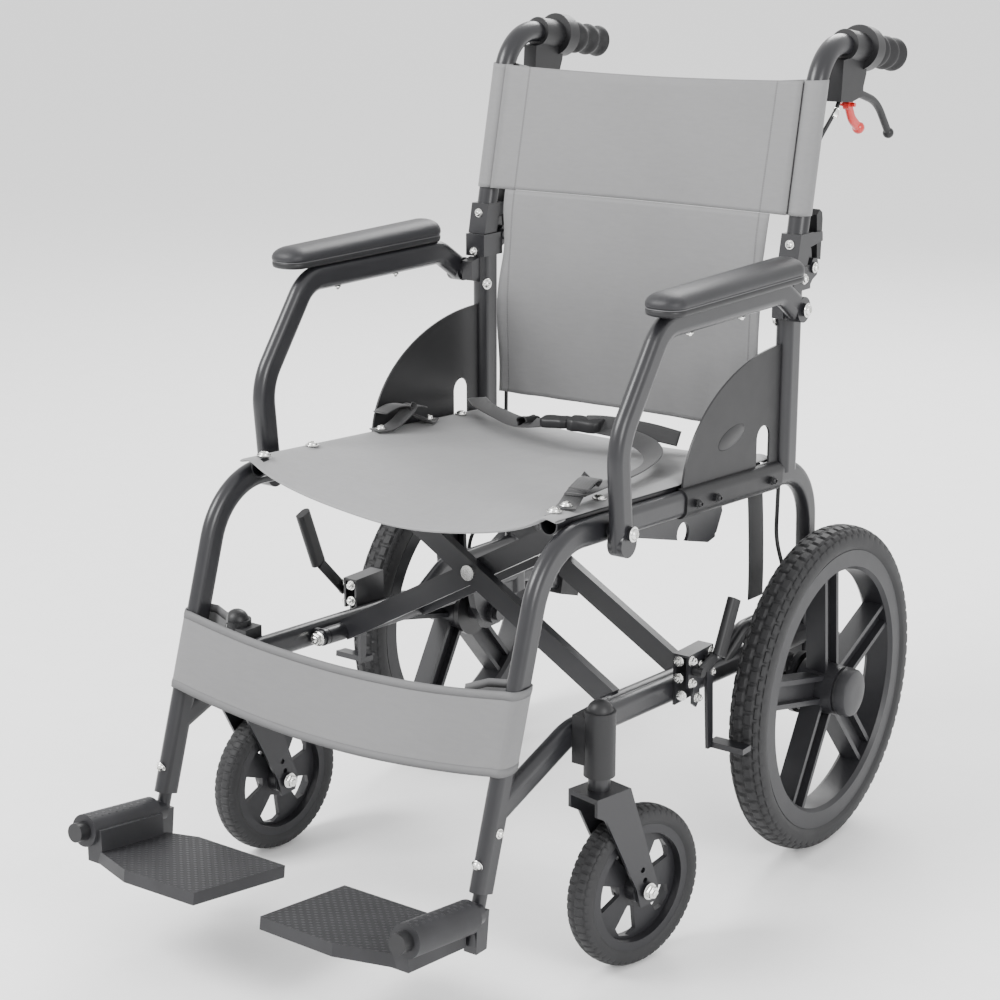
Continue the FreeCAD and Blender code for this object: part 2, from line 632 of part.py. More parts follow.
def caster_tyre():
    return tyre(CASTER_HUB, CASTER_R, CASTER_TYRE_WIDTH, CASTER_SEAT_R, 13.0)


def caster_rim():
    """The caster's rim, hub and web with five windows."""
    rim = revolve_x([(-13, 62.0), (13, 62.0), (13, CASTER_SEAT_R), (-13, CASTER_SEAT_R)], CASTER_HUB)
    hub = revolve_x([(-17.5, 4.25), (17.5, 4.25), (17.5, 17.0), (-17.5, 17.0)], CASTER_HUB)
    web = revolve_x([(-3, 14.0), (3, 14.0), (3, 63.0), (-3, 63.0)], CASTER_HUB)
    for k in range(5):
        window = plate_yz([(-5.0, 24.0), (5.0, 24.0), (16.0, 50.0), (8.0, 58.0), (-8.0, 58.0), (-16.0, 50.0)],
                          -10.0, 10.0)
        window.rotate(V(0, 0, 0), X_AXIS, 72.0 * k + 20.0)
        window.translate(CASTER_HUB)
        web = web.cut(window)
    return fuse([rim, hub, web])


def caster_fork():
    """The pressed fork: a crown with two legs, its stem and the axle bolt."""
    crown_z = 218.0
    hub_y, hub_z = CASTER_HUB.y, CASTER_R
    parts = [box(STEM_X - 22.0, STEM_X + 22.0, STEM_Y - 24.0, STEM_Y + 26.0, crown_z - 6.0, crown_z)]
    for x0 in (-22.0, 18.0):
        parts.append(plate_yz(
            [(STEM_Y - 24.0, crown_z), (STEM_Y + 26.0, crown_z), (STEM_Y + 36.0, 190.0),
             (hub_y + 17.0, hub_z), (hub_y + 12.0, hub_z - 16.0), (hub_y - 10.0, hub_z - 18.0),
             (hub_y - 17.0, hub_z + 6.0), (STEM_Y - 10.0, 190.0), (STEM_Y - 24.0, 198.0)],
            STEM_X + x0, STEM_X + x0 + 4.0))
    parts.append(rod(V(STEM_X, STEM_Y, crown_z - 2.0), V(STEM_X, STEM_Y, 302.0), 8.95))
    parts.append(rod(V(STEM_X, STEM_Y, crown_z), V(STEM_X, STEM_Y, 233.5), 12.0))
    parts.append(rod(CASTER_HUB + V(-26.0, 0, 0), CASTER_HUB + V(26.0, 0, 0), 4.2))
    for x0 in (-26.0, 22.0):
        parts.append(rod(CASTER_HUB + V(x0, 0, 0), CASTER_HUB + V(x0 + 4.0, 0, 0), 7.0))
    whole = fuse(parts)
    for rise in (13.0, 26.0):
        whole = whole.cut(rod_x(STEM_X - 30, STEM_X + 30, hub_y - rise * 0.3, hub_z + rise, 3.2))
    return whole


# ---- footrests ----

def footrest_tube():
    """The inner leg tube with the foot bracket at its lower end."""
    tube = rod(V(FRAME_X, leg_y(100.0), 100.0), V(FRAME_X, leg_y(250.0), 250.0), 7.5)
    y = leg_y(112.0)
    bracket = plate_yz([(y - 6.0, 92.0), (y + 12.0, 92.0), (y + 17.0, 134.0), (y - 4.0, 136.0)],
                       FRAME_X - 8.0, FRAME_X + 8.0)
    socket = rod(barrel_point(-14.0), barrel_point(1.6), 12.0)
    return fuse([tube, bracket, socket]).cut(rod(barrel_point(-8.0), barrel_point(4.0), 8.05))


def barrel_point(t):
    """A point on the footplate's hinge line, t mm forward of its rear end."""
    return V(*BARREL_START) + BARREL_AXIS * t


def footplate_pin():
    """The footplate's hinge pin with its front knob."""
    return fuse([rod(barrel_point(-7.7), barrel_point(112.0), 8.0),
                 rod(barrel_point(104.6), barrel_point(118.0), 10.5)])


def footplate():
    """The footplate with its hinge barrel along the outer edge."""
    rear = PLATE_REAR_Y
    outline = [
        (PLATE_INNER_X, rear), (PLATE_OUTER_X - 34.0, rear), (PLATE_OUTER_X, rear - 16.0),
        (PLATE_OUTER_X + 6.0, rear - 60.0), (PLATE_OUTER_X + 4.0, rear - 118.0),
        (PLATE_OUTER_X - 60.0, rear - 142.0), (PLATE_INNER_X + 4.0, rear - 139.0),
    ]
    points = [V(x, y, 0) for x, y in outline]
    plate = Part.Face(Part.makePolygon(points + points[:1])).extrude(V(0, 0, -PLATE_THICK))
    plate.rotate(V(0, rear, 0), X_AXIS, -math.degrees(math.atan(FOOT_SLOPE)))
    plate.translate(V(0, 0, PLATE_TOP_Z))
    barrel = rod(barrel_point(2.0), barrel_point(104.2), 18.0)
    web = plate_yz([(-397.0, 102.0), (-397.0, 140.0), (-491.0, 153.0), (-491.0, 113.0)],
                   PLATE_OUTER_X - 4.0, BARREL_START[0])
    return fuse([barrel, plate, web]).cut(rod(barrel_point(-10.0), barrel_point(118.2), 8.05))


# ---- wheel locks ----

LOCK_X = RAIL_OUTER_X + 20.3


def lock_lever(grip):
    """The wheel lock's hand lever: a flat link and a grip between two (y, z) points."""
    y, z = LOCK_PIVOT
    low, high = grip
    link = oval_tube(LOCK_X + 8.0, [(y, z), low], [], 14.0, 4.0)
    bar = oval_tube(LOCK_X + 12.0, [low, high], [], 21.0, 11.0)
    return fuse([link, bar, rod_x(LOCK_X + 0.3, LOCK_X + 13.0, y, z, 5.5)])


def lock_shoe():
    """The arm that carries the shoe bar across the tyre."""
    y, z = SHOE_PIVOT
    x = LOCK_X
    arm = plate_yz([(y - 7, z + 7), (y + 7, z + 7), (y + 12, 206.0), (y + 12, 187.0), (y + 2, 187.0)],
                   x, x + 4.0)
    bar = plate_yz([(y + 8, 194.0), (48.5, 194.0), (48.5, 187.0), (y + 8, 187.0)], x, x + 46.0)
    return fuse([arm, bar])


def swung(shape, pivot, angle):
    shape.rotate(V(0, *pivot), X_AXIS, angle)
    return shape


# ---- soft parts ----

def sheet_yz(line, thick, half_width):
    """A flat soft panel: a (y, z) line given thickness towards the front, as wide as the chair."""
    a, b = (V(0, *p) for p in line)
    front = unit(b - a).cross(X_AXIS)
    if front.y > 0:
        front = front * -1
    outline = [(p.y, p.z) for p in (a, b, b + front * thick, a + front * thick)]
    return plate_yz(outline, -half_width, half_width)


def seat_fabric():
    rise = SEAT_TUBE_D / 2 + CLEAR
    ends = [(y, seat_tube_z(y) + rise) for y in SEAT_EDGES]
    outline = ends + [(y, z + 4.0) for y, z in reversed(ends)]
    return plate_yz(outline, -217.0, 217.0)


def back_upper():
    gap = HANDLE_D / 2 + 1.0
    ends = [(handle_along_foot(z) - gap, z) for z in (770.0, 922.0)]
    return sheet_yz(ends, 3.0, 238.0)


def back_lower():
    return sheet_yz([(226.0, 515.0), (231.0, 766.0)], 3.0, 190.0)


def calf_strap():
    gap = TUBE_DEPTH / 2 / math.cos(math.atan(LEG_LEAN)) + 1.0
    ends = [(leg_y(z) - gap, z) for z in (272.0, 352.0)]
    return sheet_yz(ends, 2.5, FRAME_X + 14.0)


def seat_belt():
    """Two webbing straps from the seat tubes to a buckle over the middle of the seat."""
    straps = []
    for tab, end in ((V(-196, 45, 511.0), V(-24, 100, 517.0)), (V(196, -185, 520.5), V(36, 105, 517.0))):
        along = end - tab
        side = unit(along.cross(Z_AXIS)) * 12.5
        points = [tab + side, end + side, end - side, tab - side]
        straps.append(Part.Face(Part.makePolygon(points + points[:1])).extrude(V(0, 0, 2.0)))
    buckle = box(-30.0, 42.0, 82.0, 122.0, 513.0, 525.0)
    return fuse(straps + [buckle])


# ---- writing the parts ----

def mirrored(shape):
    return shape.mirror(V(0, 0, 0), X_AXIS)


def save(name, shape):
    shape = shape.translated(V(0, LENGTH_CENTRING, 0))
    shape.exportStep(os.path.join("parts", name + ".step"))


def turned(shape, x, y, angle):
    shape.rotate(V(x, y, 0), Z_AXIS, angle)
    return shape


SIDE_PARTS = {
    "side_frame": side_frame,
    "tip_pad": tip_pad,
    "frame_fittings": frame_fittings,
    "skirt_guard": skirt_guard,
    "caster_housing": caster_housing,
    "drum_brake": drum_brake,
    "lock_bracket": lock_bracket,
    "back_hinge": back_hinge,
    "push_handle": push_handle,
    "hand_grip": hand_grip,
    "brake_housing": brake_housing,
    "brake_lever": brake_lever,
    "parking_latch": parking_latch,
    "back_release": back_release,
    "armrest_tube": armrest_tube,
    "armrest_pad": armrest_pad,
    "rear_tyre": rear_tyre,
    "rear_rim": rear_rim,
    "footrest_tube": footrest_tube,
    "footplate_pin": footplate_pin,
    "footplate": footplate,
}

CASTER_PARTS = {
    "caster_fork": caster_fork,
    "caster_rim": caster_rim,
    "caster_tyre": caster_tyre,
}

MIDDLE_PARTS = {
    "cross_pivots": cross_pivots,
    "seat_fabric": seat_fabric,
    "back_upper": back_upper,
    "back_lower": back_lower,
    "calf_strap": calf_strap,
    "seat_belt": seat_belt,
}


def main():
    os.makedirs("parts", exist_ok=True)
    for name, make in SIDE_PARTS.items():
        shape = make()
        save("left_" + name, shape)
        save("right_" + name, mirrored(shape))
    for name, make in CASTER_PARTS.items():
        shape = make()
        save("left_" + name, turned(shape.copy(), STEM_X, STEM_Y, LEFT_YAW))
        save("right_" + name, turned(mirrored(shape), -STEM_X, STEM_Y, RIGHT_YAW))
    for name, make in MIDDLE_PARTS.items():
        save(name, make())
    save("left_lock_lever", lock_lever([(29.0, 300.0), (60.0, 360.0)]))
    save("right_lock_lever", mirrored(lock_lever([(-50.0, 335.0), (-77.0, 405.0)])))
    save("left_lock_shoe", lock_shoe())
    save("right_lock_shoe", mirrored(swung(lock_shoe(), SHOE_PIVOT, -SHOE_SWING)))
    save("cross_arm_a", cross_arm(-HINGE_X, A_BARS))
    save("cross_arm_b", cross_arm(HINGE_X, B_BARS))


main()
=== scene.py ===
"""A folding transport wheelchair: cloth, pads, tyres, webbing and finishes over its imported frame."""
import math

import bpy
from mathutils import Matrix, Vector, noise


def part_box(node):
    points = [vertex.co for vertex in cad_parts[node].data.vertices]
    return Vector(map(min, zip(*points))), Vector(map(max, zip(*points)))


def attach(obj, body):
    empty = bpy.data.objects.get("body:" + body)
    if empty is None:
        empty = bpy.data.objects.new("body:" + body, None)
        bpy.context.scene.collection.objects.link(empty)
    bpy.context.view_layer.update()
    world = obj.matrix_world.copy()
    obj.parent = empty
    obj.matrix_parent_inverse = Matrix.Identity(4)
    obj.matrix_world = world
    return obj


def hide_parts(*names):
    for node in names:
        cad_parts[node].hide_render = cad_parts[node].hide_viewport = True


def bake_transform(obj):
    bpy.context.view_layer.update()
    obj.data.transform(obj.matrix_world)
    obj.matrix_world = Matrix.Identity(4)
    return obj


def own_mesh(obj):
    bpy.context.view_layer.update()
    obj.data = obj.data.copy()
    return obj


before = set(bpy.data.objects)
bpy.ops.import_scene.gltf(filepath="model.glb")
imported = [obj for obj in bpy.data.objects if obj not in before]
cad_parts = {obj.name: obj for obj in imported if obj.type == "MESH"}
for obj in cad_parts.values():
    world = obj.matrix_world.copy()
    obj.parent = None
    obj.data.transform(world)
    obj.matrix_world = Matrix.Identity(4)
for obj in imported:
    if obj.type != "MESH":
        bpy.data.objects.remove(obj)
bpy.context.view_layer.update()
MM = 0.001
SIDES = {"left": 1, "right": -1}
axle_low, axle_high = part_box("left_rear_rim")
LENGTH_SHIFT = (axle_low.y + axle_high.y) / 2 - 0.2525


def at(x, y, z):
    """A point by its distances from the seat's middle plane and the wheel's axle line."""
    return Vector((x, y + LENGTH_SHIFT, z))


# ---- finishes ----

class Signal:
    """A value in a finish's node tree, ready for arithmetic."""

    def __init__(self, finish, socket):
        self.finish = finish
        self.socket = socket

    def math(self, operation, *others):
        return self.finish.node("ShaderNodeMath", {"operation": operation}, [self, *others])

    def __add__(self, other):
        return self.math("ADD", other)

    def __sub__(self, other):
        return self.math("SUBTRACT", other)

    def __mul__(self, other):
        return self.math("MULTIPLY", other)

    def __rsub__(self, other):
        return self.finish.node("ShaderNodeMath", {"operation": "SUBTRACT"}, [other, self])

    __radd__ = __add__
    __rmul__ = __mul__

    def sine(self):
        return self.math("SINE")

    def size(self):
        return self.math("ABSOLUTE")

    def clamp(self):
        return self.finish.node("ShaderNodeClamp", {}, [self])

    def step(self, low, high):
        """0 below low, 1 above high, smooth between."""
        settings = {"interpolation_type": "SMOOTHSTEP"}
        return self.finish.node("ShaderNodeMapRange", settings, [self, low, high])


class Finish:
    """One surface finish: a material and its node tree."""

    def __init__(self, name, **constants):
        self.material = bpy.data.materials.new(name)
        self.material.use_nodes = True
        self.tree = self.material.node_tree
        self.shader = self.tree.nodes["Principled BSDF"]
        for socket, value in constants.items():
            self.shader.inputs[socket.replace("_", " ")].default_value = value
        self.place = self.node("ShaderNodeTexCoord", output="Object")
        parts = self.node("ShaderNodeSeparateXYZ", {}, [self.place], output=None)
        self.x, self.y, self.z = (Signal(self, socket) for socket in parts.outputs)

    def node(self, kind, settings=(), values=(), output=0):
        made = self.tree.nodes.new(kind)
        for setting, value in dict(settings).items():
            setattr(made, setting, value)
        pairs = values.items() if isinstance(values, dict) else enumerate(values)
        for socket, value in pairs:
            if isinstance(value, Signal):
                self.tree.links.new(value.socket, made.inputs[socket])
            else:
                made.inputs[socket].default_value = value
        return made if output is None else Signal(self, made.outputs[output])

    def feed(self, socket, value):
        self.tree.links.new(value.socket, self.shader.inputs[socket])

    def cloud(self, scale, detail=2.0, stretch=(1, 1, 1)):
        where = self.place
        if stretch != (1, 1, 1):
            where = self.node("ShaderNodeVectorMath", {"operation": "MULTIPLY"}, [where, stretch])
        return self.node("ShaderNodeTexNoise", {}, {"Vector": where, "Scale": scale, "Detail": detail})

    def mix(self, amount, low, high):
        return self.node("ShaderNodeMix", {"data_type": "RGBA"}, {0: amount, 6: low, 7: high}, output=2)

    def bump(self, height, depth, under=None):
        values = {"Height": height, "Distance": depth, "Strength": 1.0}
        if under:
            values["Normal"] = under
        return self.node("ShaderNodeBump", {}, values)

    def facing_up(self):
        """1 where the surface faces up at rest, 0 on its sides."""
        normal = self.node("ShaderNodeTexCoord", output="Normal")
        parts = self.node("ShaderNodeSeparateXYZ", {}, [normal], output=None)
        return Signal(self, parts.outputs[2]).step(0.85, 0.95)


def shade(colour, factor):
    return tuple(min(1.0, c * factor) for c in colour) + (1.0,)


def coat(name, colour, rough, mottle=0.12, grain=1400, depth=0.02, uneven=0.12, **constants):
    """A paint, plastic, rubber or metal skin with fine grain, soft variation and uneven gloss."""
    finish = Finish(name, **constants)
    slow = finish.cloud(18, 4)
    fine = finish.cloud(grain, 3)
    smudge = finish.cloud(55, 5)
    tone = (slow * 0.6 + smudge * 0.4).step(0.3, 0.7)
    finish.feed("Base Color", finish.mix(tone, shade(colour, 1 - mottle), shade(colour, 1 + mottle)))
    finish.feed("Roughness", rough + (smudge - 0.5) * uneven + (fine - 0.5) * uneven * 0.5)
    finish.feed("Normal", finish.bump(fine, depth * MM))
    return finish.material


def woven(name, colour, weave_mm=1.1, crease=0.5, seams=(), rough=0.62, **constants):
    """Coated nylon: a plain weave, soft creases, and sewn lines at the given |x|, their grooves darkened as
    painted shade.
    """
    finish = Finish(name, **constants)
    turn = 2 * math.pi / (weave_mm * MM)
    across = (finish.x * turn).sine()
    along = ((finish.z + finish.y) * turn).sine()
    weave = across * along * 0.5 + 0.5
    slub = finish.cloud(260, 3, (0.25, 1, 1))
    slow = finish.cloud(5, 4)
    creases = finish.cloud(9, 5, (1.6, 0.7, 0.5))
    tone = (slow * 0.5 + slub * 0.3 + weave * 0.2).step(0.25, 0.75)
    colour_now = finish.mix(tone, shade(colour, 0.9), shade(colour, 1.08))
    height = weave * 0.10 + slub * 0.12
    for seam in seams:
        offset = (finish.x.size() - seam).size()
        groove = 1 - offset.step(0.3 * MM, 1.6 * MM)
        stitch = ((finish.z + finish.y) * (2 * math.pi / (3.4 * MM))).sine().step(-0.2, 0.2)
        # Painted shade: the sewn groove is painted darker, and the stitch pattern darkens it further at each
        # stitch.
        colour_now = finish.mix(groove * (0.35 + stitch * 0.35), colour_now, shade(colour, 0.55))
        height = height - groove * (1.6 - stitch * 0.5)
    finish.feed("Base Color", colour_now)
    finish.feed("Roughness", rough + (slow - 0.5) * 0.14 + (weave - 0.5) * 0.06)
    soft = finish.bump(creases, crease * 6 * MM)
    finish.feed("Normal", finish.bump(height, 0.35 * MM, soft))
    return finish.material


def ribbed_webbing(name, colour):
    """Woven strap: fine ribs across it, their crests painted lighter and the gaps between painted darker as
    painted light and shade, over a random lint tone.
    """
    finish = Finish(name, Sheen_Weight=0.25)
    rib = ((finish.x + finish.y * 0.7 + finish.z) * (2 * math.pi / (1.9 * MM))).sine() * 0.5 + 0.5
    lint = finish.cloud(700, 3)
    # Painted light and shade: the rib term lightens the rib crests and darkens the gaps; the lint term is
    # random tone.
    finish.feed("Base Color", finish.mix(lint * 0.6 + rib * 0.4, shade(colour, 0.6), shade(colour, 1.5)))
    finish.feed("Roughness", 0.6 + (lint - 0.5) * 0.2)
    finish.feed("Normal", finish.bump(rib * 0.7 + lint * 0.3, 0.3 * MM))
    return finish.material


def dotted_plate(name, colour):
    """Moulded plastic with rows of low round studs on its upper face, each stud painted lighter as a painted
    highlight.
    """
    finish = Finish(name, Specular_IOR_Level=0.36)
    pitch = 2 * math.pi / (10.5 * MM)
    studs = ((finish.x * pitch).sine() * (finish.y * pitch).sine()).step(0.28, 0.62)
    studs = studs * finish.facing_up()
    fine = finish.cloud(1100, 3)
    tone = finish.cloud(30, 4).step(0.3, 0.7)
    base = finish.mix(tone, shade(colour, 0.85), shade(colour, 1.15))
    # Painted highlight: the studs are painted lighter, towards twice the plate's colour.
    finish.feed("Base Color", finish.mix(studs * 0.55, base, shade(colour, 2.0)))
    finish.feed("Roughness", 0.55 - studs * 0.12 + (fine - 0.5) * 0.1)
    finish.feed("Normal", finish.bump(studs + fine * 0.05, 1.3 * MM))
    return finish.material


def pad_skin(name, colour):
    """Self-skinned foam: fine leather grain with a soft sheen."""
    finish = Finish(name, Specular_IOR_Level=0.40)
    cells = finish.node(
        "ShaderNodeTexVoronoi", {"feature": "DISTANCE_TO_EDGE"}, {"Vector": finish.place, "Scale": 620.0})
    fine = finish.cloud(900, 3)
    tone = finish.cloud(12, 4).step(0.3, 0.7)
    finish.feed("Base Color", finish.mix(tone, shade(colour, 0.85), shade(colour, 1.2)))
    finish.feed("Roughness", 0.44 + (fine - 0.5) * 0.12 - cells.clamp() * 0.05)
    finish.feed("Normal", finish.bump(cells.step(0.0, 0.25) * 0.7 + fine * 0.3, 0.12 * MM))
    return finish.material


FRAME_GREY = (0.012, 0.012, 0.014)
FINISHES = {
    "frame_paint": coat("frame_paint", FRAME_GREY, 0.33, mottle=0.08, grain=2200, depth=0.03,
                        Specular_IOR_Level=0.42, Coat_Weight=0.12, Coat_Roughness=0.25),
    "fork_paint": coat("fork_paint", (0.013, 0.013, 0.015), 0.32, mottle=0.08, grain=2200, depth=0.03,
                       Specular_IOR_Level=0.40, Coat_Weight=0.10, Coat_Roughness=0.25),
    "brake_black": coat("brake_black", (0.010, 0.010, 0.011), 0.38, depth=0.02,
                        Specular_IOR_Level=0.38),
    "zinc": coat("zinc", (0.78, 0.78, 0.76), 0.24, mottle=0.10, grain=900, depth=0.02, uneven=0.18,
                 Metallic=1.0),
    "black_plastic": coat("black_plastic", (0.011, 0.011, 0.012), 0.44, depth=0.05,
                          Specular_IOR_Level=0.36),
    "wheel_plastic": coat("wheel_plastic", (0.014, 0.014, 0.016), 0.42, depth=0.05,
                          Specular_IOR_Level=0.36),
    "plate_plastic": dotted_plate("plate_plastic", (0.018, 0.018, 0.020)),
    "red_plastic": coat("red_plastic", (0.50, 0.018, 0.016), 0.30, mottle=0.08, depth=0.02,
                        Coat_Weight=0.3),
    "black_rubber": coat("black_rubber", (0.010, 0.010, 0.011), 0.55, depth=0.10, Specular_IOR_Level=0.35),
    "tyre_rubber": coat("tyre_rubber", (0.014, 0.014, 0.015), 0.62, mottle=0.2, depth=0.12, uneven=0.18,
                        Specular_IOR_Level=0.38),
    "pad_skin": pad_skin("pad_skin", (0.013, 0.013, 0.015)),
    # Painted light and shade: the seat, back and calf cloth are one grey nylon. The up-facing seat is painted
    # lighter and the back and calf strap are painted darker.
    "seat_cloth": woven("seat_cloth", (0.215, 0.215, 0.218), Sheen_Weight=0.15),
    "back_cloth": woven("back_cloth", (0.160, 0.160, 0.162), seams=(0.176,), Sheen_Weight=0.15),
    "calf_cloth": woven("calf_cloth", (0.140, 0.140, 0.142), crease=0.3, Sheen_Weight=0.15),
    "binding": woven("binding", (0.105, 0.105, 0.107), weave_mm=1.6, crease=0.1),
    "pad_piping": coat("pad_piping", (0.075, 0.075, 0.078), 0.40),
    "webbing": ribbed_webbing("webbing", (0.010, 0.010, 0.011)),
}
FLOOR_FINISH = coat("floor", (0.93, 0.93, 0.93), 0.65, mottle=0.01, grain=60, depth=0.0)


# ---- building ----

def piece(name, verts, faces, finish, body=None, smooth=True):
    """A mesh object in the row frame, with its finish and the body that carries it."""
    mesh = bpy.data.meshes.new(name)
    mesh.from_pydata([tuple(v) for v in verts], [], faces)
    mesh.validate()
    made = bpy.data.objects.new(name, mesh)
    bpy.context.collection.objects.link(made)
    mesh.materials.append(FINISHES[finish])
    mesh.polygons.foreach_set("use_smooth", [smooth] * len(mesh.polygons))
    if body:
        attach(made, body)
    return made


def settled(made, *modifiers):
    """Applies modifiers to a piece, given as (type, settings) pairs."""
    for kind, settings in modifiers:
        modifier = made.modifiers.new(kind.lower(), kind)
        for setting, value in settings.items():
            setattr(modifier, setting, value)
    graph = bpy.context.evaluated_depsgraph_get()
    graph.update()
    final = bpy.data.meshes.new_from_object(made.evaluated_get(graph))
    made.modifiers.clear()
    made.data = final
    return made


def lattice(rows, columns, closed_rows=False, closed_columns=False):
    """Quads over a grid of points stored row by row."""
    faces = []
    for i in range(rows if closed_rows else rows - 1):
        for j in range(columns if closed_columns else columns - 1):
            a, b = i * columns + j, i * columns + (j + 1) % columns
            c, d = ((i + 1) % rows) * columns + (j + 1) % columns, ((i + 1) % rows) * columns + j
            faces.append((a, b, c, d))
    return faces


def spread(start, end, count):
    return [start + (end - start) * i / (count - 1) for i in range(count)]


def smooth_path(points, steps=8):
    """A smooth curve through points, ends included."""
    points = [Vector(p) for p in points]
    path = []
    for i in range(len(points) - 1):
        p0, p1 = points[max(i - 1, 0)], points[i]
        p2, p3 = points[i + 1], points[min(i + 2, len(points) - 1)]
        for k in range(steps):
            t = k / steps
            path.append(0.5 * (2 * p1 + (p2 - p0) * t + (2 * p0 - 5 * p1 + 4 * p2 - p3) * t ** 2
                               + (3 * p1 - p0 - 3 * p2 + p3) * t ** 3))
    return path + [points[-1]]


def ribbon(name, points, across, width, thick, finish, body):
    """A flat strap along a smooth path; across is its width direction, one or one per point."""
    path = smooth_path(points)
    directions = across if isinstance(across, list) else [across] * len(points)
    sides = smooth_path(directions)
    half, skin = width / 2, thick / 2
    section = [(-1, -0.6), (-0.94, -1), (0, -1.15), (0.94, -1), (1, -0.6),
               (1, 0.6), (0.94, 1), (0, 1.15), (-0.94, 1), (-1, 0.6)]
    verts = []
    for i, here in enumerate(path):
        along = (path[min(i + 1, len(path) - 1)] - path[max(i - 1, 0)]).normalized()
        side = (sides[i] - along * sides[i].dot(along)).normalized()
        up = side.cross(along)
        verts += [here + side * half * u + up * skin * v for u, v in section]
    faces = lattice(len(path), len(section), closed_columns=True)
    faces += [tuple(range(len(section)))[::-1],
              tuple(range(len(verts) - len(section), len(verts)))]
    return piece(name, verts, faces, finish, body)


def turned(name, profile, centre, axis, finish, body, segments=32, smooth=True):
    """A turned piece: (radius, height) points about an axis through centre."""
    axis = Vector(axis).normalized()
    side = axis.orthogonal().normalized()
    other = axis.cross(side)
    centre = Vector(centre)
    verts = [centre + axis * h + (side * math.cos(a) + other * math.sin(a)) * r
             for r, h in profile
             for a in (2 * math.pi * k / segments for k in range(segments))]
    faces = lattice(len(profile), segments, closed_columns=True)
    faces += [tuple(range(segments))[::-1], tuple(range(len(verts) - segments, len(verts)))]
    made = piece(name, verts, faces, finish, body, smooth=smooth)
    made.data.set_sharp_from_angle(angle=math.radians(35))


def pan_screw(name, centre, axis, body, radius=0.0065, finish="zinc"):
    """A domed screw head on a washer, with a hexagon socket sunk in its crown."""
    r = radius
    profile = [(r * 1.35, 0), (r * 1.38, 0.0006), (r * 1.3, 0.0012), (r, 0.0013), (r * 0.98, 0.0022),
               (r * 0.82, 0.0036), (r * 0.5, 0.0044), (r * 0.44, 0.0042), (r * 0.42, 0.0024)]
    turned(name, profile, centre, axis, finish, body, 24)


def hex_nut(name, centre, axis, body, radius=0.0075, height=0.006, finish="zinc"):
    """A hexagon nut on a washer with the bolt's end standing out of it."""
    r = radius
    washer = 0.0012
    turned(name + ".washer", [(r * 1.3, 0), (r * 1.32, washer / 2), (r * 1.25, washer)],
           centre, axis, finish, body, 28)
    start = Vector(centre) + Vector(axis).normalized() * washer
    profile = [(r * 0.94, 0), (r, 0.0006), (r, height - 0.0006), (r * 0.9, height),
               (r * 0.55, height), (r * 0.5, height + 0.0018), (r * 0.3, height + 0.0022)]
    turned(name, profile, start, axis, finish, body, 6, smooth=False)


# ---- seat and back cloth ----

seat_low, seat_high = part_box("seat_fabric")
SEAT_FALL = 0.0616
SEAT_TUBE_X = 0.200


def seat_level(y):
    """The underside of the seat cloth where it lies on its tubes."""
    return seat_low.z + SEAT_FALL * (seat_high.y - y)


def seat_point(x, y):
    """The seat cloth sags between its tubes, most at its free front edge."""
    span = max(0.0, 1 - (x / SEAT_TUBE_X) ** 2)
    front = max(0.0, 1 - (y - seat_low.y) / 0.17) ** 2
    sag = (0.014 + 0.030 * front) * span ** 0.75
    over = max(0.0, abs(x) - SEAT_TUBE_X)
    ripple = noise.noise((x * 9, y * 6, 0.3)) * 0.0022 * span
    pull = noise.noise((x * 4, y * 30, 4.7)) * 0.0011 * span
    return Vector((x, y, seat_level(y) + 0.0012 - sag - over ** 1.5 * 1.6 + ripple + pull))


def over_seat_tubes(made):
    """Bakes a piece's placement into its mesh; it is given no body, so it does not follow the seat tubes, which
    lift and close up as the chair folds.
    """
    seat_level(0)
    seat_level(0)
    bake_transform(made)


def seat_cover():
    """The seat sling: one sheet over both tubes, its front and rear hems turned under."""
    half = seat_high.x
    columns = spread(-half, half, 61)
    rows = spread(seat_low.y, seat_high.y, 61)
    verts = []
    for x in columns:
        trim = 0.004 * (1 - (x / half) ** 2)
        line = [seat_point(x, y + trim * (1 if i == 0 else 0)) for i, y in enumerate(rows)]
        front, rear = line[0], line[-1]
        hem = [front + Vector((0, 0.024, -0.0034)), front + Vector((0, 0.004, -0.0038)),
               front + Vector((0, -0.0018, -0.0018))]
        tail = [rear + Vector((0, 0.0018, -0.0016)), rear + Vector((0, -0.004, -0.0030)),
                rear + Vector((0, -0.020, -0.0030))]
        verts += hem + line + tail
    count = len(rows) + 6
    cover = piece("seat_cover", verts, lattice(len(columns), count), "seat_cloth")
    settled(cover, ("SOLIDIFY", {"thickness": 0.0016, "offset": 0.0}),
            ("SUBSURF", {"levels": 1, "render_levels": 1}))
    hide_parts("seat_fabric")
    over_seat_tubes(cover)


back_low, back_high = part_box("back_upper")
apron_low, apron_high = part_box("back_lower")
HANDLE_LOW = at(0.224, 0.2445, 0.716)
HANDLE_HIGH = at(0.222, 0.298, 0.967)
SLEEVE_R = 0.0142


def handle_centre(z):
    """The middle of the left handle tube at height z."""
    return HANDLE_LOW + (HANDLE_HIGH - HANDLE_LOW) * ((z - HANDLE_LOW.z) / (HANDLE_HIGH.z - HANDLE_LOW.z))


BACK_HANG = 0.012
BACK_TOP_DIP = 0.006


